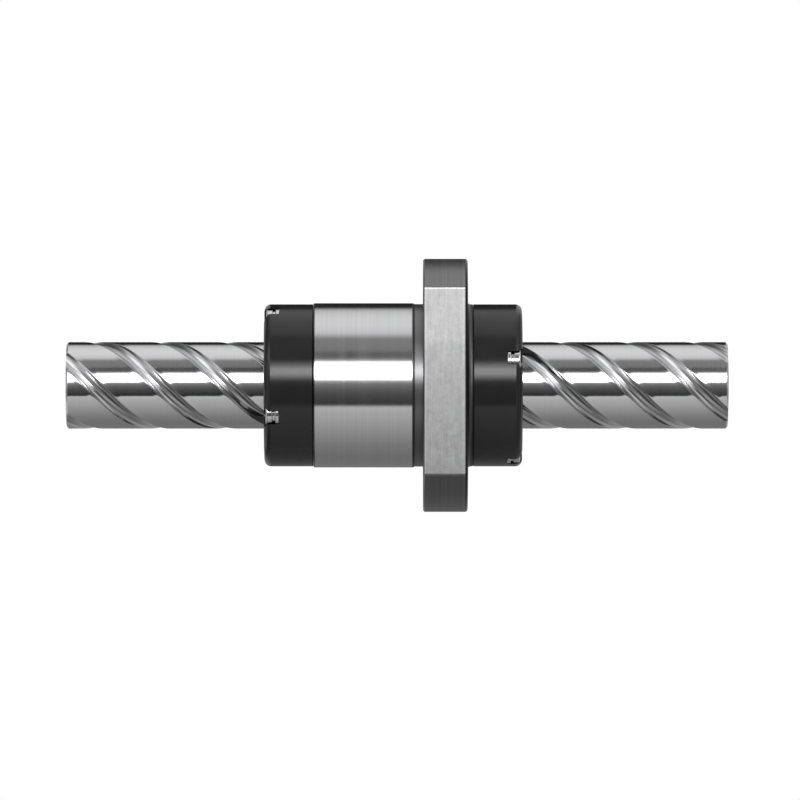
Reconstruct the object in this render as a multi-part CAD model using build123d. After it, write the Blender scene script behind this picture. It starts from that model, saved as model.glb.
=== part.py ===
from build123d import *
import math
import os

# Ball screw with a flanged nut. Millimetres. X runs along the screw axis, Z is up, and X = 0 is
# the flange's mounting face, which the nut's ground body stands out of towards -X.
# Angles about the axis are measured from +Y towards +Z.

# Screw shaft: four right-hand grooves, rolled to a lead of three diameters
shaft_diameter = 19.5
lead = 60.0
thread_starts = 4
shaft_left = -80.2
shaft_length = 148.7
shaft_end_chamfer = 0.4
groove_crossing_x = 0.4
front_angle = 180.0
groove_edge_break = 0.22

# Balls and the pointed-arch track that carries them
ball_diameter = 3.175
ball_centre_rise = 0.625
track_play = 0.1925
track_arch_offset = 0.1
track_centre_shift = 0.03
shaft_track_ease = 1.05
nut_land_rise = 0.525

# Ball return: straight holes through the nut, and turns inside the end caps
return_hole_play = 0.325
return_channel_play = 0.225
return_inner_wall = 0.795
return_outer_wall = 2.05
pickup_depth = 2.3
turn_in_angle = 13.35
starts_spanned = 3
ball_spacing_factor = 1.12

# Nut body
body_edge_chamfer = 0.2
relief_step = 0.2
relief_length = 2.2
undercut_reach = 0.4
undercut_depth = 0.15
shoulder_length = 1.25
shoulder_chamfer = 0.15
shoulder_fillet = 0.7

# Flange
flange_reach = 10.0
flange_thickness = 10.0
flat_stand_out = 0.75
flange_chamfer = 0.3
flange_round = 0.6
flat_edge_round = 0.8
bolt_hole_diameter = 5.5
bolt_angle_from_top = 30.0
bolt_hole_chamfer = 0.3

# Grease port in the rear flat
port_diameter = 6.0
port_depth = 7.0
port_height = 7.5
port_passage_diameter = 2.5
port_edge_chamfer = 0.3
plug_length = 5.0
plug_recess = 0.6
plug_socket_flats = 3.0
plug_socket_depth = 2.4

# End caps
cap_step = 0.25
cap_length = 11.0
cap_outer_round = 1.5
cap_seam_chamfer = 0.15
cap_bore_clearance = 0.35

# Ball return guides in the end caps
guide_depth = 5.5
guide_shoe_wall = 1.125
guide_lobe_wall = 0.9
guide_lead_in_angle = 16.0
guide_tongue_angle = 15.0
guide_fit = 0.1
guide_shaft_clearance = 0.2

# Wiper rings, cut to the thread form, each held closed by a round spring
wiper_height = 2.25
wiper_seat_depth = 4.5
wiper_fit = 0.15
wiper_thickness = 3.6
wiper_lip = 0.25
wiper_lip_length = 0.5
wiper_shaft_clearance = 0.15
wiper_slits = 8
wiper_slit_width = 0.5
wiper_key_width = 1.6
wiper_key_height = 1.2
spring_wire_diameter = 0.8
spring_clearance = 0.15

# Cap screws, four to a cap, each over a split washer and a flat washer
screw_diameter = 3.0
screw_thread_play = 0.05
screws_per_cap = 4
screw_grip = 6.0
screw_hole_overrun = 1.0
screw_clearance = 0.2
head_diameter = 5.5
head_height = 1.5
head_chamfer = 0.2
socket_flats = 2.0
socket_depth = 0.9
split_washer_diameter = 4.9
split_washer_thickness = 0.7
split_washer_gap = 0.5
flat_washer_diameter = 5.8
flat_washer_thickness = 0.8
counterbore_clearance = 0.2
head_recess = 0.4
left_screw_turn = 24.25
right_screw_turn = -19.25

# What follows from those sizes
shaft_radius = shaft_diameter / 2
ball_radius = ball_diameter / 2
ball_circle_radius = shaft_radius + ball_centre_rise
track_radius = ball_radius + track_play
nut_land_radius = ball_circle_radius + nut_land_rise
start_angle = 360 / thread_starts
lead_angle = math.atan2(lead, 2 * math.pi * ball_circle_radius)
track_stretch = 1 / math.sin(lead_angle)
return_hole_radius = (ball_diameter + return_hole_play) / 2
return_channel_radius = (ball_diameter + return_channel_play) / 2
return_circle_radius = ball_circle_radius + track_radius + return_inner_wall + return_hole_radius
body_diameter = 2 * (return_circle_radius + return_hole_radius + return_outer_wall)
flange_diameter = body_diameter + 2 * flange_reach
flange_flats = body_diameter + 2 * flat_stand_out
bolt_circle_diameter = (body_diameter + flange_diameter) / 2
cap_diameter = body_diameter - 2 * cap_step
wiper_seat_diameter = shaft_diameter + 2 * wiper_height
screw_circle_diameter = cap_diameter - head_diameter
pickup_span = lead * (starts_spanned * start_angle - 2 * turn_in_angle) / 360
body_right = flange_thickness + shoulder_length
body_left = body_right - (pickup_span - 2 * pickup_depth)
counterbore_diameter = flat_washer_diameter + 2 * counterbore_clearance
stack_height = flat_washer_thickness + split_washer_thickness + head_height
cutter_overrun = 1.0


def groove_angle(x):
    return front_angle + 360 * (x - groove_crossing_x) / lead


def polar(x, radius, angle):
    turn = math.radians(angle)
    return Vector(x, radius * math.cos(turn), radius * math.sin(turn))


def across(x):
    """The plane square to the axis at x, with its own x along +Y and its own y along +Z."""
    return Plane.YZ.offset(x)


def prism(outline, x_from, x_to):
    low, high = sorted((x_from, x_to))
    return extrude(across(low) * outline, high - low)


def around(count, first_angle, radius=0.0):
    """Places on a circle about the axis, each with its own x pointing outwards."""
    return PolarLocations(radius, count, first_angle)


def turned(points):
    """A solid of revolution about the screw axis from (x, radius) points."""
    return revolve(make_face(Plane.XZ * Polyline(*points, close=True)), Axis.X)


def twisted(outline, x_from, x_to):
    """The outline, drawn for x_from, carried along the axis at the lead of the thread."""
    face = (across(x_from) * outline).face()
    return Solid.extrude_linear_with_rotation(
        face, (x_from, 0, 0), (x_to - x_from, 0, 0), 360 * (x_to - x_from) / lead
    )


def track_outline(radius, stretch):
    """A pointed arch, as two ellipses overlap: the ball track as a plane across the axis cuts it."""
    lobe = Ellipse(radius, radius * stretch)
    shift = track_arch_offset * stretch
    return (Pos(0, shift) * lobe) & (Pos(0, -shift) * lobe)


def shaft_outline(x, clearance=0.0):
    """The grooved section of the shaft at x, grown by a clearance where it serves as a cutter."""
    land = shaft_radius + clearance
    track = track_outline(track_radius - clearance, track_stretch * shaft_track_ease)
    mouth = track_stretch * math.sqrt(track_radius**2 - (ball_circle_radius - shaft_radius)**2)
    top = 2 * mouth + 2 * groove_edge_break
    corner = Pos(land, 0) * Polygon(
        (0, top / 2), (0, -top / 2),
        (-2 * groove_edge_break, -top / 2 + 2 * groove_edge_break),
        (-2 * groove_edge_break, top / 2 - 2 * groove_edge_break), align=None,
    )
    outline = Circle(land)
    for place in around(thread_starts, groove_angle(x)):
        outline -= place * Pos(ball_circle_radius + track_centre_shift, 0) * track
        if clearance == 0:
            outline -= place * corner
    return outline


def nut_bore_outline(x):
    """The nut's bore at x: the land circle and the four raceways around it."""
    outline = Circle(nut_land_radius)
    track = track_outline(track_radius, track_stretch)
    for place in around(thread_starts, groove_angle(x), ball_circle_radius - track_centre_shift):
        outline += place * track
    return outline


class CapSide:
    """One end of the nut body. Depth is measured outwards from its face, into the end cap."""

    def __init__(self, name, face_x, outwards, screw_turn):
        self.name = name
        self.face_x = face_x
        self.outwards = outwards
        self.screw_angle = self.return_angle() + screw_turn

    def x(self, depth):
        return self.face_x + self.outwards * depth

    def solid(self, outline, depth_from, depth_to):
        return prism(outline, self.x(depth_from), self.x(depth_to))

    def turned(self, points):
        return turned([(self.x(depth), radius) for depth, radius in points])

    def pickup_angle(self):
        return groove_angle(self.x(pickup_depth))

    def return_angle(self):
        return self.pickup_angle() + self.outwards * turn_in_angle

    def screw_places(self):
        return around(screws_per_cap, self.screw_angle, screw_circle_diameter / 2)


left_side = CapSide("left", body_left, -1, left_screw_turn)
right_side = CapSide("right", body_right, 1, right_screw_turn)


def helix_point(x, start):
    return polar(x, ball_circle_radius, groove_angle(x) + start * start_angle)


def helix_direction(x, start, outwards):
    """The way a ball on the thread travels at x, towards the end cap."""
    turn = math.radians(groove_angle(x) + start * start_angle)
    round_speed = ball_circle_radius * 2 * math.pi / lead
    way = Vector(1, -round_speed * math.sin(turn), round_speed * math.cos(turn))
    return way.normalized() * outwards


def raceway_path(start, x_from, x_to, steps=8):
    """The ball centres' helix, as a spline with its true end directions."""
    points = [helix_point(x_from + (x_to - x_from) * step / steps, start) for step in range(steps + 1)]
    way = 1 if x_to > x_from else -1
    ends = [helix_direction(x_from, start, way), helix_direction(x_to, start, way)]
    return Spline(*points, tangents=ends)


def turn_path(side, start):
    """From the thread, tangent to it, round and back into the return hole."""
    lift = helix_point(side.x(pickup_depth), start)
    home = polar(side.face_x, return_circle_radius, side.return_angle() + start * start_angle)
    reach = 4 / 3 * (home - lift).length / 2
    inwards = Vector(-side.outwards, 0, 0)
    lift_handle = lift + helix_direction(side.x(pickup_depth), start, side.outwards) * reach
    return Bezier(lift, lift_handle, home - inwards * reach, home)


def return_channel(side, start):
    """The passage through a guide, open at the thread and at the return hole."""
    inside = side.x(-ball_diameter)
    thread = raceway_path(start, inside, side.x(pickup_depth))
    turn = turn_path(side, start)
    home = turn @ 1
    path = Wire([thread, turn, Line(home, Vector(inside, home.Y, home.Z))])
    return sweep(Plane(origin=path @ 0, z_dir=path % 0) * Circle(return_channel_radius), path=path)


def shaft_cutter(side, clearance, depth_from, depth_to):
    low, high = sorted((side.x(depth_from), side.x(depth_to)))
    return twisted(shaft_outline(low, clearance), low, high)


def screw_shaft():
    shaft = twisted(shaft_outline(shaft_left), shaft_left, shaft_left + shaft_length)
    right = shaft_left + shaft_length
    small = shaft_radius - shaft_end_chamfer
    blank = turned([
        (shaft_left, 0), (shaft_left, small), (shaft_left + shaft_end_chamfer, shaft_radius + guide_fit),
        (right - shaft_end_chamfer, shaft_radius + guide_fit), (right, small), (right, 0),
    ])
    return shaft & blank


def flange_blank():
    """A disc with two flats: chamfered round the mounting face, rounded round the other one."""
    outline = Circle(flange_diameter / 2) & Rectangle(flange_flats, flange_diameter)
    outline = fillet(outline.vertices(), flat_edge_round)
    disc = prism(outline, 0, flange_thickness)
    disc = chamfer(disc.edges().filter_by_position(Axis.X, 0, 0), flange_chamfer)
    right_rim = disc.edges().filter_by_position(Axis.X, flange_thickness, flange_thickness)
    return fillet(right_rim, flange_round)


def bolt_holes():
    radius = bolt_hole_diameter / 2
    hole = turned([
        (0, 0), (0, radius + bolt_hole_chamfer), (bolt_hole_chamfer, radius),
        (flange_thickness - bolt_hole_chamfer, radius), (flange_thickness, radius + bolt_hole_chamfer),
        (flange_thickness, 0),
    ])
    return [Pos(polar(0, bolt_circle_diameter / 2, top_or_bottom + lean)) * hole
            for top_or_bottom in (90, 270) for lean in (-bolt_angle_from_top, bolt_angle_from_top)]


def grease_port():
    """The tapped port in the rear flat, and the passage from it to the raceways."""
    radius = port_diameter / 2
    inwards = Plane(origin=(flange_thickness / 2, flange_flats / 2, port_height), z_dir=(0, -1, 0))
    from_flat = (Align.CENTER, Align.CENTER, Align.MIN)
    mouth = Cone(radius + port_edge_chamfer, radius, port_edge_chamfer, align=from_flat)
    bore = Cylinder(radius, port_depth, align=from_flat)
    bore_wall_y = math.sqrt(nut_land_radius**2 - port_height**2)
    passage = Cylinder(port_passage_diameter / 2, flange_flats / 2 - bore_wall_y + port_passage_diameter,
                       align=from_flat)
    return inwards * (mouth + bore + passage)


def seat_undercut():
    """A shallow groove in the mounting face, so that a housing's edge clears the corner."""
    inner = body_diameter / 2 - relief_step
    outer = body_diameter / 2 + undercut_reach
    return turned([
        (-relief_length / 2, inner), (undercut_depth, inner), (undercut_depth, outer),
        (-relief_length / 2, outer),
    ])


def nut_body():
    body = body_diameter / 2
    relief = body - relief_step
    shoulder = cap_diameter / 2
    core = turned([
        (body_left, 0), (body_left, body - body_edge_chamfer), (body_left + body_edge_chamfer, body),
        (-relief_length, body), (-relief_length + relief_step, relief), (flange_thickness / 2, relief),
        (flange_thickness / 2, shoulder), (body_right - shoulder_chamfer, shoulder),
        (body_right, shoulder - shoulder_chamfer), (body_right, 0),
    ])
    nut = core + flange_blank() - seat_undercut()
    circles = nut.edges().filter_by(GeomType.CIRCLE).filter_by_position(
        Axis.X, flange_thickness, flange_thickness)
    shoulder_foot = min(circles, key=lambda circle: abs(circle.radius - shoulder))
    nut = fillet(shoulder_foot, shoulder_fillet)
    nut -= bolt_holes()
    nut -= grease_port()
    nut -= twisted(nut_bore_outline(body_left - cutter_overrun), body_left - cutter_overrun,
                   body_right + cutter_overrun)
    for place in around(thread_starts, left_side.return_angle(), return_circle_radius):
        nut -= prism(place * Circle(return_hole_radius), body_left - cutter_overrun,
                     body_right + cutter_overrun)
    for side in (left_side, right_side):
        for place in side.screw_places():
            nut -= side.solid(place * Circle(screw_diameter / 2), -screw_grip - screw_hole_overrun,
                              cutter_overrun)
    return nut


def guide_outline(side, start, grow=0.0):
    """A shoe against the shaft and a lobe out to the return hole, drawn across the axis."""
    turn = start * start_angle
    tongue = side.pickup_angle() + side.outwards * (turn_in_angle + guide_tongue_angle)
    lead_in = groove_angle(side.face_x) - side.outwards * guide_lead_in_angle
    first, last = sorted((tongue + turn, lead_in + turn))
    shoe_radius = ball_circle_radius + return_channel_radius + guide_shoe_wall + grow
    reach = 2 * shoe_radius
    wedge = Polygon((0, 0), *[(reach * math.cos(math.radians(angle)), reach * math.sin(math.radians(angle)))
                              for angle in (first, (first + last) / 2, last)], align=None)
    shoe = Circle(shoe_radius) & wedge
    inner = polar(0, ball_circle_radius, side.pickup_angle() + turn)
    outer = polar(0, return_circle_radius, side.return_angle() + turn)
    ends = [Pos(point.Y, point.Z) * Circle(return_channel_radius + guide_lobe_wall + grow)
            for point in (inner, outer)]
    lobe = make_hull((ends[0] + ends[1]).edges())
    return shoe + lobe


def end_cap(side):
    outer = cap_diameter / 2
    seat = wiper_seat_diameter / 2
    floor = cap_length - wiper_seat_depth
    blank = side.turned([
        (0, 0), (0, outer - cap_seam_chamfer), (cap_seam_chamfer, outer), (cap_length, outer),
        (cap_length, 0),
    ])
    rim = blank.edges().filter_by(GeomType.CIRCLE).filter_by_position(
        Axis.X, side.x(cap_length), side.x(cap_length))
    cap = fillet(rim, cap_outer_round)
    cap -= side.solid(Circle(shaft_radius + cap_bore_clearance), -cutter_overrun, cap_length)
    cap -= side.solid(Circle(seat), floor, cap_length - wiper_lip_length)
    cap -= side.solid(Circle(seat - wiper_fit - wiper_lip), floor, cap_length + cutter_overrun)
    cap -= side.solid(key_outline(side, wiper_fit), floor, floor + wiper_thickness + 2 * wiper_fit)
    for place in side.screw_places():
        cap -= side.solid(place * Circle(screw_diameter / 2 + screw_clearance), -cutter_overrun, cap_length)
        cap -= side.solid(place * Circle(counterbore_diameter / 2),
                          cap_length - head_recess - stack_height, cap_length + cutter_overrun)
    for start in range(thread_starts):
        cap -= side.solid(guide_outline(side, start, guide_fit), -cutter_overrun, guide_depth + guide_fit)
    return cap


def return_guides(side):
    cutter = shaft_cutter(side, guide_shaft_clearance, -cutter_overrun, guide_depth + cutter_overrun)
    guides = []
    for start in range(thread_starts):
        blank = side.solid(guide_outline(side, start), 0, guide_depth)
        guides.append((blank - cutter - return_channel(side, start)).solid())
    return guides


def key_outline(side, grow=0.0):
    """The key that stops a wiper from turning, halfway between two cap screws."""
    reach = wiper_key_height + wiper_seat_diameter / 2 - wiper_fit + grow
    inner = wiper_seat_diameter / 2 - 2 * wiper_fit
    place = Rot(0, 0, side.screw_angle + 180 / screws_per_cap)
    return place * Pos((inner + reach) / 2, 0) * Rectangle(reach - inner, wiper_key_width + 2 * grow)


def spring_circle_radius():
    return wiper_seat_diameter / 2 - wiper_fit - spring_wire_diameter / 2


def wiper_span():
    low = cap_length - wiper_seat_depth + wiper_fit
    return low, low + wiper_thickness


def wiper_ring(side):
    low, high = wiper_span()
    outer = wiper_seat_diameter / 2 - wiper_fit
    ring = side.solid(Circle(outer), low, high) + side.solid(key_outline(side), low, high)
    groove = spring_wire_diameter / 2 + spring_clearance
    middle = (low + high) / 2
    slot_floor = spring_circle_radius() - groove
    ring -= side.solid(Circle(outer) - Circle(slot_floor), middle - groove, middle + groove)
    ring -= shaft_cutter(side, wiper_shaft_clearance, low - cutter_overrun, high + cutter_overrun)
    slit_reach = slot_floor - wiper_slit_width
    for place in around(wiper_slits, side.screw_angle):
        slit = place * Pos(slit_reach / 2, 0) * Rectangle(slit_reach, wiper_slit_width)
        ring -= side.solid(slit, low - cutter_overrun, high + cutter_overrun)
    return ring


def wiper_spring(side):
    low, high = wiper_span()
    section = Pos(side.x((low + high) / 2), spring_circle_radius()) * Circle(spring_wire_diameter / 2)
    return revolve(Plane.XZ * section, Axis.X)


def hexagon(flats):
    return RegularPolygon(flats / 2, 6, major_radius=False)


def cap_screws(side):
    under_head = cap_length - head_recess - head_height
    screws = []
    for place in side.screw_places():
        head = side.solid(place * Circle(head_diameter / 2), under_head, under_head + head_height)
        top = head.edges().filter_by_position(Axis.X, side.x(under_head + head_height),
                                              side.x(under_head + head_height))
        head = chamfer(top, head_chamfer)
        head -= side.solid(place * hexagon(socket_flats), under_head + head_height - socket_depth,
                           under_head + head_height + cutter_overrun)
        shank = side.solid(place * Circle(screw_diameter / 2 - screw_thread_play), -screw_grip, under_head)
        screws.append((head + shank).solid())
    return screws


def split_washers(side):
    low = cap_length - head_recess - head_height - split_washer_thickness
    hole = screw_diameter / 2 + screw_clearance / 2
    washers = []
    for place in side.screw_places():
        ring = Circle(split_washer_diameter / 2) - Circle(hole)
        gap = Pos(-split_washer_diameter / 4, 0) * Rectangle(split_washer_diameter / 2, split_washer_gap)
        washers.append(side.solid(place * (ring - gap), low, low + split_washer_thickness).solid())
    return washers


def flat_washers(side):
    low = cap_length - head_recess - stack_height
    hole = screw_diameter / 2 + screw_clearance / 2
    return [side.solid(place * (Circle(flat_washer_diameter / 2) - Circle(hole)), low,
                       low + flat_washer_thickness).solid() for place in side.screw_places()]


def grease_plug():
    """A set screw in the port, a little below the flat."""
    outward = Plane(origin=(flange_thickness / 2, flange_flats / 2 - plug_recess, port_height),
                    z_dir=(0, 1, 0))
    body = extrude(Circle(port_diameter / 2 - screw_thread_play), -plug_length)
    rims = body.edges().filter_by(GeomType.CIRCLE)
    plug = chamfer(rims, head_chamfer) - extrude(hexagon(plug_socket_flats), -plug_socket_depth)
    return outward * plug


def ball_centres(start):
    """Evenly spaced ball centres: those on one thread start, and those on their way back from it."""
    thread = raceway_path(start, left_side.x(pickup_depth), right_side.x(pickup_depth), steps=24)
    right_turn = turn_path(right_side, start)
    home = right_turn @ 1
    back = Line(home, Vector(body_left, home.Y, home.Z))
    # That return hole meets the left-hand turn of the start starts_spanned places further round
    left_turn = turn_path(left_side, start + starts_spanned)
    stretches = [thread, right_turn, back, left_turn]
    total = sum(stretch.length for stretch in stretches)
    count = math.floor(total / (ball_diameter * ball_spacing_factor))
    loaded, returning = [], []
    for ball in range(count):
        along = (ball + 0.5) * total / count
        for stretch in stretches:
            if along <= stretch.length:
                break
            along -= stretch.length
        if stretch is left_turn:
            along = stretch.length - along
        centre = stretch.position_at(along, PositionMode.LENGTH)
        (loaded if stretch is thread else returning).append(centre)
    return loaded, returning


def balls(centres):
    return [Pos(centre) * Sphere(ball_radius) for centre in centres]


def write(name, *shapes):
    solids = [solid for shape in shapes for solid in shape.solids()]
    node = solids[0] if len(solids) == 1 else Compound(children=solids)
    node.label = name
    export_step(node, f"parts/{name}.step")


os.makedirs("parts", exist_ok=True)
write("screw_shaft", screw_shaft())
write("nut_body", nut_body())
write("grease_plug", grease_plug())
for side in (left_side, right_side):
    write(f"end_cap_{side.name}", end_cap(side))
    write(f"return_guides_{side.name}", *return_guides(side))
    write(f"wiper_ring_{side.name}", wiper_ring(side))
    write(f"wiper_spring_{side.name}", wiper_spring(side))
    write(f"cap_screws_{side.name}", *cap_screws(side))
    write(f"split_washers_{side.name}", *split_washers(side))
    write(f"flat_washers_{side.name}", *flat_washers(side))
for start in range(thread_starts):
    loaded, returning = ball_centres(start)
    write(f"loaded_balls_{start + 1}", *balls(loaded))
    write(f"return_balls_{start + 1}", *balls(returning))
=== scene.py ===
import bmesh
import bpy
import math
import numpy as np
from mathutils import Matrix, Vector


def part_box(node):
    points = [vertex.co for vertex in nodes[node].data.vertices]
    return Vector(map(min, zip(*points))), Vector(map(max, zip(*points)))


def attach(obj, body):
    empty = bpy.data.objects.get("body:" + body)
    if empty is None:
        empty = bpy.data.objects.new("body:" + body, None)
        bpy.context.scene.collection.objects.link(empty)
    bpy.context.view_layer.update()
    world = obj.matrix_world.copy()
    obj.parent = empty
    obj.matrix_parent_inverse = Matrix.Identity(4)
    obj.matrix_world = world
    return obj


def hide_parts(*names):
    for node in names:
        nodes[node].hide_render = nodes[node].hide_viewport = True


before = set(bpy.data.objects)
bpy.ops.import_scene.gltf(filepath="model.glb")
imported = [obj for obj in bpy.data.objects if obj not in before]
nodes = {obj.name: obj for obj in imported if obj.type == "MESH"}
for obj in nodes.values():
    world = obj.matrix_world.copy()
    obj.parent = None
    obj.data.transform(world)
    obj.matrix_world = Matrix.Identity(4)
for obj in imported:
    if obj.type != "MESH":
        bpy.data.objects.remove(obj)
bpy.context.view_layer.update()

mm = 0.001
print("frame loaded:", len(nodes), "nodes")


# A wire is a number inside a shader: sums and products of wires add Math nodes
class Wire:
    def __init__(self, shader, socket):
        self.shader = shader
        self.socket = socket

    def join(self, operation, *values):
        return self.shader.add("ShaderNodeMath", dict(enumerate(values)), operation=operation)

    def __add__(self, other):
        return self.join("ADD", self, other)

    def __radd__(self, other):
        return self.join("ADD", other, self)

    def __sub__(self, other):
        return self.join("SUBTRACT", self, other)

    def __rsub__(self, other):
        return self.join("SUBTRACT", other, self)

    def __mul__(self, other):
        return self.join("MULTIPLY", self, other)

    def __truediv__(self, other):
        return self.join("DIVIDE", self, other)

    def __abs__(self):
        return self.join("ABSOLUTE", self)

    def __pow__(self, other):
        return self.join("POWER", self, other)

    def rise(self, low, high):         # 0 up to low, 1 from high on, smooth between them
        return self.shader.add("ShaderNodeMapRange", {0: self, 1: low, 2: high},
                               interpolation_type="SMOOTHSTEP")

    def within(self, low, full, fading, gone):     # 1 from full to fading, 0 below low and above gone
        return self.rise(low, full) * (1.0 - self.rise(fading, gone))


def diagonal(first, second):           # the long side of a right-angled triangle
    return (first * first + second * second) ** 0.5


def turnAbout(y, z):                   # share of a turn about the screw axis, 0 on the camera's side
    return z.join("ARCTAN2", z, y * -1.0) / (2 * math.pi)


def between(share, first, second):     # first where the share is 0, second where it is 1
    return first * (1.0 - share) + second * share


def weighted(weights, *wires):         # the first weight, plus each wire times its own weight
    total = weights[0]
    for weight, wire in zip(weights[1:], wires):
        total = total + wire * weight
    return total


class Shader:
    def __init__(self, owner):
        owner.use_nodes = True
        self.tree = owner.node_tree
        self.tree.nodes.clear()

    def add(self, kind, sockets=None, output=0, stops=None, **settings):
        node = self.tree.nodes.new(kind)
        for name, value in settings.items():
            setattr(node, name, value)
        if stops:
            ramp = node.color_ramp
            while len(ramp.elements) < len(stops):
                ramp.elements.new(1.0)
            for element, (position, tone) in zip(ramp.elements, stops):
                element.position = position
                element.color = (tone, tone, tone, 1)
        for name, value in (sockets or {}).items():
            socket = node.inputs[name]
            if isinstance(value, Wire):
                self.tree.links.new(value.socket, socket)
            elif isinstance(value, tuple) and socket.type == "RGBA":
                socket.default_value = (*value, 1)
            else:
                socket.default_value = value
        if node.outputs:
            return Wire(self, node.outputs[output])

    def spot(self):                    # a point's place in the object's own frame
        return self.add("ShaderNodeTexCoord", output="Object")

    def parts(self, vector):           # a vector's x, y and z
        sockets = self.add("ShaderNodeSeparateXYZ", {0: vector}).socket.node.outputs
        return [Wire(self, socket) for socket in sockets]

    def noise(self, vector, scale, detail=3.0, roughness=0.55):
        return self.add("ShaderNodeTexNoise", {"Vector": vector, "Scale": scale, "Detail": detail,
                                               "Roughness": roughness})

    def lines(self, along, scale, detail=3.0, roughness=0.6):    # noise that changes one way only
        return self.add("ShaderNodeTexNoise", {"W": along, "Scale": scale, "Detail": detail,
                                               "Roughness": roughness}, noise_dimensions="1D")

    def stretched(self, vector, scale):
        return self.add("ShaderNodeVectorMath", {0: vector, 1: scale}, operation="MULTIPLY")

    def shade(self, colour, factor):   # a colour made lighter or darker by a number
        return self.add("ShaderNodeVectorMath", {0: colour, "Scale": factor}, operation="SCALE")

    def mix(self, factor, first, second):
        return self.add("ShaderNodeMix", {0: factor, 6: first, 7: second}, output=2, data_type="RGBA")

    def bump(self, height, depth):
        return self.add("ShaderNodeBump", {"Height": height, "Distance": depth})

    def surface(self, fixed, **varied):
        sockets = {**fixed, **{name.replace("_", " "): wire for name, wire in varied.items()}}
        self.add("ShaderNodeOutputMaterial", {"Surface": self.add("ShaderNodeBsdfPrincipled", sockets)})


def newMaterial(name):
    material = bpy.data.materials.new(name)
    return material, Shader(material)


# Surface kit: point grids (rows x columns x 3, in metres) become one closed mesh. Points closer than the weld
# distance are made one, and edges that bend more than the sharp angle stay sharp.
kit = {"weld": 0.002 * mm, "sharpDegrees": 32.0}


# Corner numbers of the quads of a grid whose last column meets its first
def gridFaces(rows, columns, start):
    row, column = np.meshgrid(np.arange(rows - 1), np.arange(columns), indexing="ij")
    here = row * columns + column
    beside = row * columns + (column + 1) % columns
    return start + np.stack([here, beside, beside + columns, here + columns], axis=-1).reshape(-1, 4)


def newPiece(name, grids, body, material, replaced):
    points = np.concatenate([grid.reshape(-1, 3) for grid in grids])
    starts = np.cumsum([0] + [grid.shape[0] * grid.shape[1] for grid in grids[:-1]])
    faces = np.concatenate([gridFaces(*grid.shape[:2], start) for grid, start in zip(grids, starts)])
    mesh = bpy.data.meshes.new(name)
    mesh.vertices.add(len(points))
    mesh.vertices.foreach_set("co", points.ravel())
    mesh.loops.add(faces.size)
    mesh.loops.foreach_set("vertex_index", faces.ravel())
    mesh.polygons.add(len(faces))
    mesh.polygons.foreach_set("loop_start", np.arange(0, faces.size, 4))
    mesh.update(calc_edges=True)
    work = bmesh.new()
    work.from_mesh(mesh)
    bmesh.ops.remove_doubles(work, verts=work.verts, dist=kit["weld"])
    bmesh.ops.recalc_face_normals(work, faces=work.faces)
    work.to_mesh(mesh)
    work.free()
    mesh.polygons.foreach_set("use_smooth", np.ones(len(mesh.polygons), bool))
    mesh.set_sharp_from_angle(angle=math.radians(kit["sharpDegrees"]))
    piece = bpy.data.objects.new(name, mesh)
    bpy.context.scene.collection.objects.link(piece)
    mesh.materials.append(material)
    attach(piece, body)
    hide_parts(replaced)
    print(f"{name}: {len(mesh.polygons)} faces")


# A CAD node keeps its shape and takes a material
def dress(name, material):
    for slot in nodes[name].material_slots:
        slot.link = "OBJECT"
        slot.material = material


# Camera: a long lens in front of the flange's flat, a little below the axis
view = {"elevation": -2.8, "distance": 2.0, "width": 0.1802, "centreX": -0.0052, "centreZ": -0.0033,
        "sensor": 36.0, "nearest": 0.05, "farthest": 20.0}


def makeCamera():
    lens = bpy.data.cameras.new("camera")
    lens.sensor_width = view["sensor"]
    lens.lens = view["sensor"] * view["distance"] / view["width"]
    lens.clip_start = view["nearest"]
    lens.clip_end = view["farthest"]
    camera = bpy.data.objects.new("camera", lens)
    tilt = math.radians(view["elevation"])
    camera.location = (view["centreX"], -view["distance"] * math.cos(tilt),
                       view["centreZ"] + view["distance"] * math.sin(tilt))
    camera.rotation_euler = (math.pi / 2 - tilt, 0, 0)
    bpy.context.scene.collection.objects.link(camera)
    bpy.context.scene.camera = camera


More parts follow.
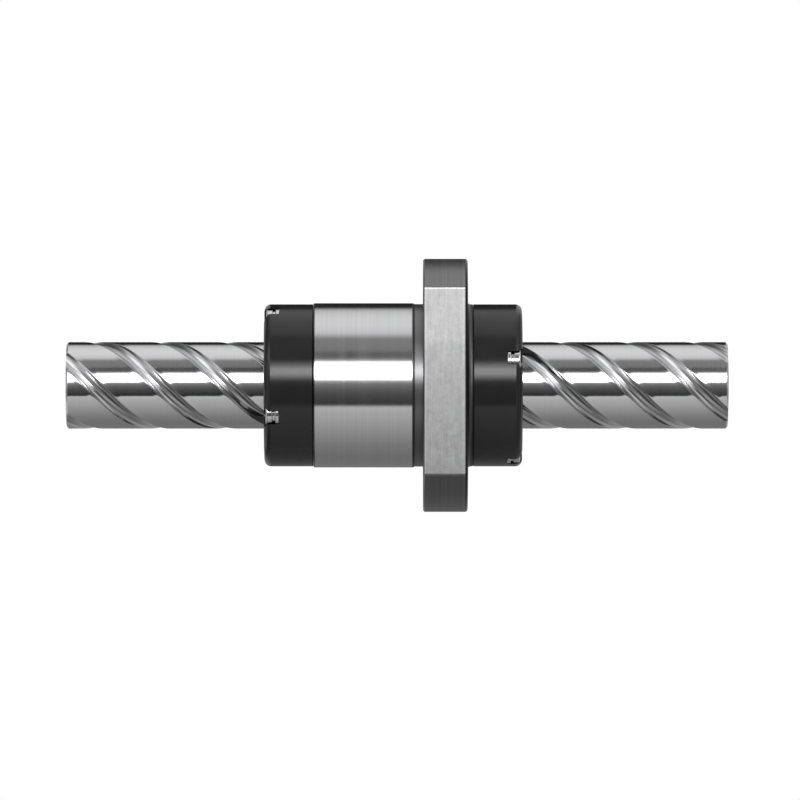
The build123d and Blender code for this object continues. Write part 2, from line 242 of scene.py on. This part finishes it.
# Studio: long softboxes and dark gaps between them, told by their angle about the screw axis, where 0 is the
# camera's side, 90 straight up and 180 behind the object. Brightness is linear. The zones follow each other
# by how far a direction leans along the axis, and fadesIn says where each one takes over from the one before.
# The middle is what the round faces mirror from the front. Near, side, far and wide, each with a left and a
# right half, are what the grooves and the views from the sides mirror. The end is what the flat ends mirror.
studio = {
    "middle": [(-180, 0.2), (-150, 0.21), (-121, 0.205), (-94, 0.27), (-72, 0.38), (-53, 0.49), (-40, 0.56),
               (-34, 0.66), (-32.5, 0.62), (-31.5, 0.015), (-28, 0.02), (-23, 0.045), (-14, 0.08),
               (-5, 0.15), (4, 0.28), (20, 0.3), (31, 0.28), (36, 0.04), (43, 0.04), (48, 0.18),
               (66, 0.25), (76, 0.76), (90, 0.88), (108, 0.86), (124, 0.7), (131, 0.46), (139, 0.02),
               (172, 0.02), (180, 0.2)],
    "nearLeft": [(-180, 0.4), (-140, 0.35), (-110, 0.14), (-85, 0.05), (-60, 0.09), (-45, 0.17), (-30, 0.27),
                 (-14, 0.22), (0, 0.32), (10, 0.6), (22, 1.1), (38, 1.4), (50, 1.1), (62, 0.65), (75, 0.4),
                 (95, 0.6), (120, 0.35), (145, 0.5), (180, 0.4)],
    "nearRight": [(-180, 0.4), (-140, 0.38), (-110, 0.22), (-85, 0.16), (-60, 0.28), (-30, 0.42),
                  (-15, 0.42), (0, 0.18), (8, 0.16), (18, 0.6), (30, 1.4), (42, 1.7), (54, 1.1), (66, 0.75),
                  (85, 0.6), (110, 0.75), (140, 0.7), (180, 0.4)],
    "sideLeft": [(-180, 0.4), (-135, 0.1), (-100, 0.03), (-60, 0.03), (-48, 0.06), (-30, 0.25), (-18, 0.34),
                 (0, 0.24), (12, 0.5), (24, 1.1), (36, 1.5), (52, 1.4), (62, 0.65), (75, 0.27), (100, 0.14),
                 (120, 0.08), (180, 0.4)],
    "sideRight": [(-180, 0.4), (-110, 0.3), (-90, 0.16), (-60, 0.2), (-40, 0.2), (-14, 0.12), (0, 0.04),
                  (20, 0.05), (30, 0.4), (40, 1.2), (52, 1.6), (64, 1.1), (78, 0.55), (100, 0.42),
                  (125, 0.3), (180, 0.4)],
    "farLeft": [(-180, 0.7), (-140, 0.65), (-110, 0.65), (-85, 0.6), (-50, 0.5), (-30, 0.5), (-12, 0.4),
                (4, 0.6), (16, 1.2), (36, 1.2), (50, 0.8), (66, 0.2), (85, 0.04), (110, 0.03), (140, 0.6),
                (180, 0.7)],
    "farRight": [(-180, 0.65), (-140, 0.6), (-110, 0.2), (-70, 0.08), (-40, 0.02), (25, 0.02), (42, 0.08),
                 (56, 0.3), (70, 0.5), (88, 0.55), (104, 0.3), (125, 0.3), (145, 0.6), (180, 0.65)],
    "wideLeft": [(-180, 0.7), (-140, 0.65), (-110, 0.65), (-85, 0.7), (-50, 0.68), (-20, 0.58), (0, 0.5),
                 (20, 0.7), (36, 0.8), (50, 0.6), (66, 0.25), (85, 0.1), (110, 0.08), (140, 0.6), (180, 0.7)],
    "wideRight": [(-180, 0.65), (-140, 0.6), (-110, 0.4), (-60, 0.32), (-30, 0.32), (0, 0.33), (20, 0.6),
                  (40, 0.75), (60, 0.6), (90, 0.4), (120, 0.35), (145, 0.6), (180, 0.65)],
    "end": [(-180, 0.7), (-135, 0.6), (-105, 0.15), (-80, 0.03), (60, 0.03), (100, 0.3), (130, 0.7),
            (180, 0.7)],
    "fadesIn": {"near": (0.05, 0.1), "side": (0.36, 0.46), "far": (0.58, 0.63), "wide": (0.64, 0.69),
                "end": (0.9, 0.96)},
    "halvesMeet": 0.01, "top": 1.7, "backdrop": 1.0,
}


def makeStudio():
    world = bpy.data.worlds.new("studio")
    bpy.context.scene.world = world
    shader = Shader(world)
    x, y, z = shader.parts(shader.add("ShaderNodeTexCoord", output="Generated"))
    turn = turnAbout(y, z) + 0.5
    top = studio["top"]

    def lights(part):
        stops = [((degrees + 180) / 360, tone / top) for degrees, tone in studio[part]]
        return shader.add("ShaderNodeValToRGB", {0: turn}, stops=stops)

    rightward = x.rise(-studio["halvesMeet"], studio["halvesMeet"])
    tone = lights("middle")
    for zone, (low, high) in studio["fadesIn"].items():
        if zone in studio:
            ramp = lights(zone)
        else:
            ramp = between(rightward, lights(zone + "Left"), lights(zone + "Right"))
        tone = between(abs(x).rise(low, high), tone, ramp)
    seen = shader.add("ShaderNodeLightPath", output="Is Camera Ray")
    light = shader.add("ShaderNodeBackground", {0: tone * top})
    white = shader.add("ShaderNodeBackground", {1: studio["backdrop"], 0: (1.0, 1.0, 1.0)})
    both = shader.add("ShaderNodeMixShader", {0: seen, 1: light, 2: white})
    shader.add("ShaderNodeOutputWorld", {"Surface": both})
    bpy.context.scene.view_settings.view_transform = "Standard"


# Key light: three long soft strips in front of the object, one close behind the other, each inside the one
# before, so that the light is brightest along its middle. A strip is its lower and upper edge, in degrees
# about the screw axis, and its brightness.
key = {"distance": 1.5, "gap": 0.01, "width": 0.31,
       "strips": [(4.5, 30.5, 1.7), (7.5, 26.0, 2.6), (11.5, 21.5, 3.6)]}


def makeKey():
    for place, (low, high, tone) in enumerate(key["strips"]):
        bottom, top = (key["distance"] * math.tan(math.radians(angle)) for angle in (low, high))
        lamp = bpy.data.lights.new("keyStrip", "AREA")
        lamp.shape = "RECTANGLE"
        lamp.size = key["width"]
        lamp.size_y = top - bottom
        lamp.energy = math.pi * key["width"] * (top - bottom) * tone
        strip = bpy.data.objects.new("keyStrip", lamp)
        strip.location = (0, -key["distance"] + place * key["gap"], (bottom + top) / 2)
        strip.rotation_euler = (math.pi / 2, 0, 0)
        strip.visible_camera = False
        bpy.context.scene.collection.objects.link(strip)


# Floor: pale and plain, below the view, fading out into the backdrop and clear from beneath
floor = {"height": -0.13, "halfWidth": 1.4, "fadeFrom": 0.25, "roughness": 0.8, "grain": 60.0,
         "tone": (0.85, 0.02)}


def makeFloor():
    size, height = floor["halfWidth"], floor["height"]
    mesh = bpy.data.meshes.new("floor")
    corners = [(-size, -size, height), (size, -size, height), (size, size, height), (-size, size, height)]
    mesh.from_pydata(corners, [], [(0, 1, 2, 3)])
    plane = bpy.data.objects.new("floor", mesh)
    bpy.context.scene.collection.objects.link(plane)
    material, shader = newMaterial("paleFloor")
    spot = shader.spot()
    x, y = shader.parts(spot)[:2]
    below = shader.add("ShaderNodeNewGeometry", output="Backfacing")
    clear = diagonal(x, y).rise(floor["fadeFrom"], size) * (1.0 - below) + below
    tone = weighted(floor["tone"], shader.noise(spot, floor["grain"]))
    shader.surface({"Roughness": floor["roughness"]}, Base_Color=shader.shade((1.0, 1.0, 1.0), tone),
                   Alpha=1.0 - clear)
    mesh.materials.append(material)
    plane.visible_glossy = False


# Screw shaft: one cross-section with four pointed-arch grooves, carried along the axis and turned with it.
# Lengths are in millimetres and angles in degrees. Across a groove, the edge's close points run from a little
# outside its edge break to a little inside its mouth, and the groove's own points begin just after them.
shaft = {
    "radius": 9.75, "lead": 60.0, "starts": 4, "crossingX": 0.4, "crossingAngle": 180.0,
    "trackCentre": 10.405, "trackRadius": 1.78, "trackStretch": 1.5505, "archShift": 0.155,
    "mouthHalf": 2.461, "edgeBreak": 0.22, "edgeRound": 0.05, "edgeFrom": 0.06, "edgeTo": -0.32,
    "grooveFrom": -0.4, "endChamfer": 0.4, "faceShares": [0.0, 0.2, 0.45, 0.7, 0.9], "step": 0.4,
    "grooveColumns": 15, "edgeColumns": 8, "landColumns": 7, "chamferRows": 5,
}


# The lower of two heights, with the corner between them rounded
def softMin(first, second, width):
    close = np.maximum(width - np.abs(first - second), 0) / width
    return np.minimum(first, second) - close * close * width / 4


# Distance out from the axis, at a distance across from the groove's middle line: the lowest of the land
# circle, the two 45 degree edge breaks and the two ellipses of the arch. Where an ellipse or an edge break
# has ended, it is put out of the way, at twice the shaft's radius.
def grooveHeight(across):
    radius, away = shaft["radius"], 2 * shaft["radius"]
    a, b = shaft["trackRadius"], shaft["trackRadius"] * shaft["trackStretch"]
    share = np.clip((np.abs(across) + shaft["archShift"]) / b, 0, 1)
    arch = np.where(share < 1, shaft["trackCentre"] - a * np.sqrt(1 - share * share), away)
    edge = shaft["mouthHalf"] + shaft["edgeBreak"]
    broken = np.where(np.abs(across) < edge - 2 * shaft["edgeBreak"], away, radius - (edge - np.abs(across)))
    land = np.sqrt(radius ** 2 - across ** 2)
    return softMin(softMin(arch, broken, shaft["edgeRound"]), land, shaft["edgeRound"])


# One turn of the cross-section: distance out from the axis, and angle from the first groove's middle
def shaftOutline():
    mouth = shaft["mouthHalf"]
    side = np.linspace(mouth + shaft["edgeBreak"] + shaft["edgeFrom"], mouth + shaft["edgeTo"],
                       shaft["edgeColumns"])
    groove = np.linspace(mouth + shaft["grooveFrom"], 0, shaft["grooveColumns"], endpoint=False)
    half = np.concatenate([side, groove])
    across = np.concatenate([-half, [0], half[::-1]])
    out = grooveHeight(across)
    distance, angle = np.hypot(out, across), np.arctan2(across, out)
    apart = 2 * math.pi / shaft["starts"]
    land = np.linspace(angle[-1], apart - angle[-1], shaft["landColumns"] + 2)[1:-1]
    distance = np.concatenate([distance, np.full(len(land), shaft["radius"])])
    angle = np.concatenate([angle, land])
    turns = np.arange(shaft["starts"]) * apart
    return np.tile(distance, shaft["starts"]), (turns[:, None] + angle[None, :]).ravel()


# The outline at stations along the axis, one turn round for each lead. On the end chamfers its distance stops
# at a cone, and on the end faces it shrinks to the axis in a few shares.
def makeShaft(material):
    low, high = (corner.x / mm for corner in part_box("screw_shaft"))
    distance, angle = shaftOutline()
    inner = shaft["radius"] - shaft["endChamfer"]
    slope = np.linspace(0, shaft["endChamfer"], shaft["chamferRows"] + 1)[1:]
    middle = np.arange(low + shaft["endChamfer"], high - shaft["endChamfer"], shaft["step"])[1:]
    faceShares = np.array(shaft["faceShares"])
    face = np.ones(len(faceShares) + 1)
    stations = np.concatenate([low * face, low + slope, middle, high - slope[::-1], high * face])
    limit = np.concatenate([inner * face, inner + slope, np.full(len(middle), np.inf), inner + slope[::-1],
                            inner * face])
    share = np.concatenate([faceShares, np.ones(len(stations) - 2 * len(faceShares)), faceShares[::-1]])
    turned = np.radians(shaft["crossingAngle"] + 360 * (stations - shaft["crossingX"]) / shaft["lead"])
    out = np.minimum(distance[None, :], limit[:, None]) * share[:, None]
    around = turned[:, None] + angle[None, :]
    along = np.broadcast_to(stations[:, None], out.shape)
    grid = np.stack([along, out * np.cos(around), out * np.sin(around)], axis=-1) * mm
    newPiece("groundShaft", [grid], "shaft", material, "screw_shaft")


# Cap screws, each over a split washer and a flat washer, on a circle in each end cap. A place on one of them
# is a depth below the head's top, a distance from the screw's own axis and an angle about it.
fastener = {
    "count": 4, "circle": 15.5, "turn": {"left": 26.5, "right": 73.0}, "outwards": {"left": -1, "right": 1},
    "columns": 60, "shankRadius": 1.45, "tipChamfer": 0.4, "length": 16.6, "headRadius": 2.75,
    "headHeight": 1.5, "headRound": 0.35, "underRound": 0.1, "crown": 0.08, "crownRows": 6,
    "socketFlats": 2.0, "socketDepth": 0.9, "socketCone": 0.3, "socketBreak": 0.12, "holeRadius": 1.6,
    "cornerPoints": 5, "cornerGuard": 0.03,
    "splitRadius": 2.45, "splitThick": 0.7, "splitGap": 0.5, "splitRound": 0.12,
    "flatRadius": 2.9, "flatThick": 0.8, "flatRound": 0.14,
}


# From a depth, distance and angle on one screw to the object's own frame
def fastenerGrid(side, number, depth, radius, around):
    outwards = fastener["outwards"][side]
    low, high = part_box(f"cap_screws_{side}")
    top = (high.x if outwards > 0 else low.x) / mm
    turn = math.radians(fastener["turn"][side] + number * 360 / fastener["count"])
    depth, radius, around = np.broadcast_arrays(depth, radius, around + turn)
    x = top - outwards * depth
    y = fastener["circle"] * math.cos(turn) + radius * np.cos(around)
    z = fastener["circle"] * math.sin(turn) + radius * np.sin(around)
    return np.stack([x, y, z], axis=-1) * mm


def quarterTurn():                     # the angles of a round corner's points
    return np.radians(np.linspace(0, 90, fastener["cornerPoints"]))


# A turned profile from the socket's floor, over the head and down the shank. Where the hexagon socket is, its
# distance is half the flats over the cosine of the angle from the middle of a flat.
def screwGrid(side, number):
    f = fastener
    around = np.linspace(0, 2 * math.pi, f["columns"], endpoint=False)
    sector = math.pi / 3
    hexagon = f["socketFlats"] / 2 / np.cos((around + sector / 2) % sector - sector / 2)
    corner = f["socketFlats"] / 2 / math.cos(sector / 2)
    head, bend, crown, guard = f["headRadius"], f["headRound"], f["crown"], f["cornerGuard"]
    under, underAt, shank, length = f["underRound"], f["headHeight"], f["shankRadius"], f["length"]
    face = np.linspace(corner + f["socketBreak"], head - bend, f["crownRows"])
    rim = quarterTurn()
    radius = np.concatenate([
        face, head - bend + bend * np.sin(rim[1:]),
        [head, head], head - under + under * np.cos(rim),
        [(head + shank) / 2, shank, shank, shank - f["tipChamfer"], 0]])
    depth = np.concatenate([
        crown * (face / head) ** 2, crown + bend - bend * np.cos(rim[1:]),
        [crown + bend + guard, underAt - under - guard], underAt - under + under * np.sin(rim),
        [underAt, underAt, length - f["tipChamfer"], length, length]])
    socketDepth = np.array([f["socketDepth"] + f["socketCone"], f["socketDepth"], f["socketBreak"]])
    socket = np.stack([np.zeros(len(around)), hexagon, hexagon])
    outer = np.broadcast_to(radius[:, None], (len(radius), len(around)))
    return fastenerGrid(side, number, np.concatenate([socketDepth, depth])[:, None],
                        np.concatenate([socket, outer]), around[None, :])


# A rectangle with round corners: a quarter circle about each corner's centre, in turn, with a point a little
# way along the straight side before and after it
def roundedLoop(halfWide, halfHigh, bend):
    corner = np.radians(np.arange(4) * 90)[:, None]
    turn = corner + np.pad(quarterTurn(), 1, mode="edge")[None, :]
    slide = np.zeros(turn.shape[1])
    slide[0] = -fastener["cornerGuard"]
    slide[-1] = fastener["cornerGuard"]
    centreWide = np.sign(np.cos(corner + math.pi / 4)) * (halfWide - bend)
    centreHigh = np.sign(np.sin(corner + math.pi / 4)) * (halfHigh - bend)
    wide = centreWide + bend * np.cos(turn) - slide * np.sin(turn)
    high = centreHigh + bend * np.sin(turn) + slide * np.cos(turn)
    return wide.ravel(), high.ravel()


# A rounded rectangle carried round the screw's axis. A split washer stops short of the full turn, and each
# end of it closes in its section's middle.
def washerGrid(side, number, top, outerRadius, thick, bend, gap=0.0):
    hole = fastener["holeRadius"]
    wide, high = roundedLoop((outerRadius - hole) / 2, thick / 2, bend)
    middle = (outerRadius + hole) / 2
    spare = gap / 2 / middle
    around = math.pi + np.linspace(spare, 2 * math.pi - spare, fastener["columns"])
    share = np.ones(len(around))
    if gap:
        around = np.pad(around, 1, mode="edge")
        share = np.pad(share, 1)
    return fastenerGrid(side, number, top + thick / 2 + share[:, None] * high[None, :],
                        middle + share[:, None] * wide[None, :], around[:, None])


def makeFasteners(side, material):
    f = fastener
    numbers = range(f["count"])
    splitTop, flatTop = f["headHeight"], f["headHeight"] + f["splitThick"]
    groups = {
        "cap_screws": [screwGrid(side, number) for number in numbers],
        "split_washers": [washerGrid(side, number, splitTop, f["splitRadius"], f["splitThick"],
                                     f["splitRound"], f["splitGap"]) for number in numbers],
        "flat_washers": [washerGrid(side, number, flatTop, f["flatRadius"], f["flatThick"],
                                    f["flatRound"]) for number in numbers],
    }
    for node, grids in groups.items():
        newPiece(f"bright_{node}_{side}", grids, "nut", material, f"{node}_{side}")


# In the looks below, places and depths are in millimetres, rounds, soft, threads, marks, grain, cloud and
# mottle are the scales of noise patterns, and tones and shines are weights: a base value, then one weight for
# each pattern in turn.
def metres(places):
    return [place * mm for place in places]


# Polished lands with fine turning lines. The grooves, which lie deeper than landFrom, are ground along the
# thread and a little duller. Tone and shine: base, marks, cloud, groove.
shaftLook = {"colour": (0.72, 0.72, 0.73), "landFrom": 0.12, "landTo": 0.02, "rounds": 2600.0,
             "threads": 90.0, "cloud": 90.0, "tone": (0.93, 0.1, 0.04, -0.06),
             "shine": (0.075, 0.03, 0.02, 0.07), "depth": 0.0008}


def shaftSteel():
    look = shaftLook
    material, shader = newMaterial("polishedShaft")
    spot = shader.spot()
    x, y, z = shader.parts(spot)
    edges = metres([shaft["radius"] - look["landFrom"], shaft["radius"] - look["landTo"]])
    groove = 1.0 - diagonal(y, z).rise(*edges)
    starts = (turnAbout(y, z) - x / (shaft["lead"] * mm)) * shaft["starts"]
    across = starts.join("FRACT", starts)
    marks = between(groove, shader.lines(x, look["rounds"]), shader.lines(across, look["threads"]))
    cloud = shader.noise(spot, look["cloud"])
    shader.surface({"Metallic": 1.0},
                   Base_Color=shader.shade(look["colour"], weighted(look["tone"], marks, cloud, groove)),
                   Roughness=weighted(look["shine"], marks, cloud, groove),
                   Normal=shader.bump(marks, look["depth"] * mm))
    return material


# One steel body with its finishes told apart by place: the ground pilot and bore, the milled flats, and the
# dark turned rim, relief and shoulder. Places along the axis are from the flange's mounting face. A pair
# fades in, and four fade in and out. The seams are painted shade: dark lines painted where one finish or
# part meets the next, at the left cap seam, the relief's step, the flange's right edge and root, and the
# right
# seam. The flat has painted light too: it is lighter towards its top, with painted highlights along its
# edges.
nutLook = {
    "darkColour": (0.24, 0.24, 0.245), "groundColour": (0.69, 0.69, 0.70), "flatColour": (0.56, 0.56, 0.564),
    "flatBehind": (0.1, 0.02), "flatAlong": (0.1, 0.35, 9.15, 9.45),
    "groundOut": (18.32, 18.45), "groundEnd": (-2.55, -2.35), "boreOut": (17.0, 17.3),
    # painted shade: a dark line where the ground body's end meets the left cap, as if in the cap's shadow
    "capSeam": (-24.48, -24.15), "capSeamShade": 0.95,
    # painted shade: a dark line at the step from the ground body down into the relief
    "relief": (-2.6, -2.4, -1.95, -1.75), "reliefStepShade": 0.56,
    # painted shade: a dark band along the flange's right edge and its root, as in a shaded recess; the
    # flange's face itself is left out
    "flangeEdge": (9.25, 9.55, 10.1, 10.35), "flangeFace": (9.985, 9.995, 10.005, 10.015),
    # painted shade: the steel is darkened from where the shoulder meets the right cap onwards
    "flangeRootShade": 0.76, "rightSeam": (10.85, 11.05), "rightSeamShade": 0.55,
    "shoulder": (10.02, 10.3), "shoulderDark": 0.42,
    "rounds": 1500.0, "soft": 260.0, "softDetail": 2.0, "grainStretch": (2200.0, 900.0, 160.0),
    "grainDetail": (4.0, 0.65), "mottle": 800.0, "mottleDetail": (5.0, 0.75),
    "groundTone": (0.87, 0.13, 0.13),                  # base, rounds, soft
    # painted light: the milled flat's colour is made lighter towards its top, as if lit from above
    "paintedTopLightLow": (-22, 14), "paintedTopLightHigh": (7.5, 9.5), "paintedTopLight": (0.5, 0.2, 0.1),     # base, low, high
    # painted highlight: the next three places put bright lines along the milled flat's left, right and top
    # edges, and the rim weight in flatTone is this painted highlight
    "glintLeft": (0.5, 1.0), "glintRight": (8.4, 8.9), "glintTop": (20.2, 20.6),
    "flatTone": (0.38, 0.62, 1.02, 0.14),              # base, grain, mottle, rim
    "darkTone": (0.7, 0.65),                           # base, rounds
    "darkShine": (0.26, 0.1, 0.16),                    # base, rounds, shoulder
    "brightShine": (0.1, 0.06),                        # base, soft
    "flatShine": (0.3, 0.16),                          # base, mottle
    "roundsHeight": 0.3, "depth": 0.004,
}


def nutSteel():
    look = nutLook
    material, shader = newMaterial("nutBodySteel")
    spot = shader.spot()
    x, y, z = shader.parts(spot)
    out = diagonal(y, z)

    def rising(part, name):
        return part.rise(*metres(look[name]))

    def band(name):
        return x.within(*metres(look[name]))

    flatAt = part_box("nut_body")[1].y
    milled = abs(y).rise(*(flatAt - depth for depth in metres(look["flatBehind"])))
    flat = milled * band("flatAlong")
    ground = rising(out, "groundOut") * (1.0 - rising(x, "groundEnd"))
    inside = 1.0 - rising(out, "boreOut")
    bright = ground + inside * (1.0 - ground)
    edge = band("flangeEdge") * (1.0 - band("flangeFace"))
    # painted shade: dark lines at the left cap seam, the relief's step, the flange's right edge and root, and
    # the right seam, multiplied into the colour everywhere but the bore
    paintedSeamShade = (1.0 - rising(x, "capSeam")) * look["capSeamShade"] + band("relief") * look["reliefStepShade"]
    paintedSeamShade = paintedSeamShade + edge * look["flangeRootShade"] + rising(x, "rightSeam") * look["rightSeamShade"]
    seamShadeFactor = 1.0 - paintedSeamShade * (1.0 - inside)
    rounds = shader.lines(x, look["rounds"])
    soft = shader.lines(x, look["soft"], look["softDetail"])
    grain = shader.noise(shader.stretched(spot, look["grainStretch"]), 1.0, *look["grainDetail"])
    mottle = shader.noise(spot, look["mottle"], *look["mottleDetail"])
    # painted light: the flat's tone rises towards its top
    paintedTopLight = weighted(look["paintedTopLight"], rising(z, "paintedTopLightLow"), rising(z, "paintedTopLightHigh"))
    # painted highlight: the flat's left, right and top edges are made lighter
    rim = 1.0 - rising(x, "glintLeft") + rising(x, "glintRight") + rising(z, "glintTop")
    shoulder = rising(x, "shoulder")
    darkTone = weighted(look["darkTone"], rounds) * (1.0 - shoulder * look["shoulderDark"])
    flatTone = paintedTopLight * weighted(look["flatTone"], grain, mottle, rim)
    steel = shader.mix(bright, shader.shade(look["darkColour"], darkTone),
                       shader.shade(look["groundColour"], weighted(look["groundTone"], rounds, soft)))
    colour = shader.mix(flat, steel, shader.shade(look["flatColour"], flatTone))
    shine = between(bright, weighted(look["darkShine"], rounds, shoulder),
                    weighted(look["brightShine"], soft))
    height = rounds * (1.0 - flat) * look["roundsHeight"] + (grain + mottle) * flat
    shader.surface({"Metallic": 1.0}, Base_Color=shader.shade(colour, seamShadeFactor),
                   Roughness=between(flat, shine, weighted(look["flatShine"], mottle)),
                   Normal=shader.bump(height, look["depth"] * mm))
    return material


# Moulded resin: satin, with a fine grain and faint cloudiness. The pattern's shine is added to each resin's
# own: cloud, grain.
resins = {
    "capResin": {"colour": (0.0205, 0.0203, 0.021), "shine": 0.12, "depth": 0.002, "specular": 0.42},
    "guideResin": {"colour": (0.05, 0.05, 0.055), "shine": 0.4, "depth": 0.004, "specular": 0.5},
    "wiperResin": {"colour": (0.07, 0.07, 0.075), "shine": 0.45, "depth": 0.004, "specular": 0.5},
}
resinPattern = {"grain": 6000.0, "grainDetail": 2.0, "cloud": 160.0, "tone": (0.8, 0.4),
                "shine": (0.05, 0.03)}


def resin(name):
    look, pattern = resins[name], resinPattern
    material, shader = newMaterial(name)
    spot = shader.spot()
    grain = shader.noise(spot, pattern["grain"], pattern["grainDetail"])
    cloud = shader.noise(spot, pattern["cloud"])
    shader.surface({"Specular IOR Level": look["specular"]},
                   Base_Color=shader.shade(look["colour"], weighted(pattern["tone"], cloud)),
                   Roughness=weighted((look["shine"], *pattern["shine"]), cloud, grain),
                   Normal=shader.bump(grain, look["depth"] * mm))
    return material


# Bright small steel parts: plated, drawn or lapped, with faint lines across the axis. Tone: base, marks,
# cloud. The pattern's shine is the cloud's, added to each steel's own.
smallSteels = {
    "platedScrewSteel": {"colour": (0.78, 0.78, 0.79), "shine": 0.1, "marks": 4000.0},
    "springWire": {"colour": (0.6, 0.6, 0.6), "shine": 0.2, "marks": 3000.0},
    "lappedBall": {"colour": (0.8, 0.8, 0.81), "shine": 0.05, "marks": 900.0},
}
steelPattern = {"cloud": 500.0, "tone": (0.9, 0.1, 0.06), "shine": 0.04, "cloudHeight": 0.3, "depth": 0.0003}


def plainSteel(name):
    look, pattern = smallSteels[name], steelPattern
    material, shader = newMaterial(name)
    spot = shader.spot()
    marks = shader.lines(shader.parts(spot)[0], look["marks"])
    cloud = shader.noise(spot, pattern["cloud"])
    shader.surface({"Metallic": 1.0},
                   Base_Color=shader.shade(look["colour"], weighted(pattern["tone"], marks, cloud)),
                   Roughness=weighted((look["shine"], pattern["shine"]), cloud),
                   Normal=shader.bump(marks + cloud * pattern["cloudHeight"], pattern["depth"] * mm))
    return material


makeCamera()
makeStudio()
makeKey()
makeFloor()
print("camera, studio and floor set")

capResin, guideResin, wiperResin = (resin(name) for name in resins)
platedSteel, wireSteel, ballSteel = (plainSteel(name) for name in smallSteels)
makeShaft(shaftSteel())
dress("nut_body", nutSteel())
dress("grease_plug", platedSteel)
for side in ("left", "right"):
    dress(f"end_cap_{side}", capResin)
    dress(f"return_guides_{side}", guideResin)
    dress(f"wiper_ring_{side}", wiperResin)
    dress(f"wiper_spring_{side}", wireSteel)
    makeFasteners(side, platedSteel)
for start in range(1, shaft["starts"] + 1):
    dress(f"loaded_balls_{start}", ballSteel)
    dress(f"return_balls_{start}", ballSteel)
print("pieces dressed")
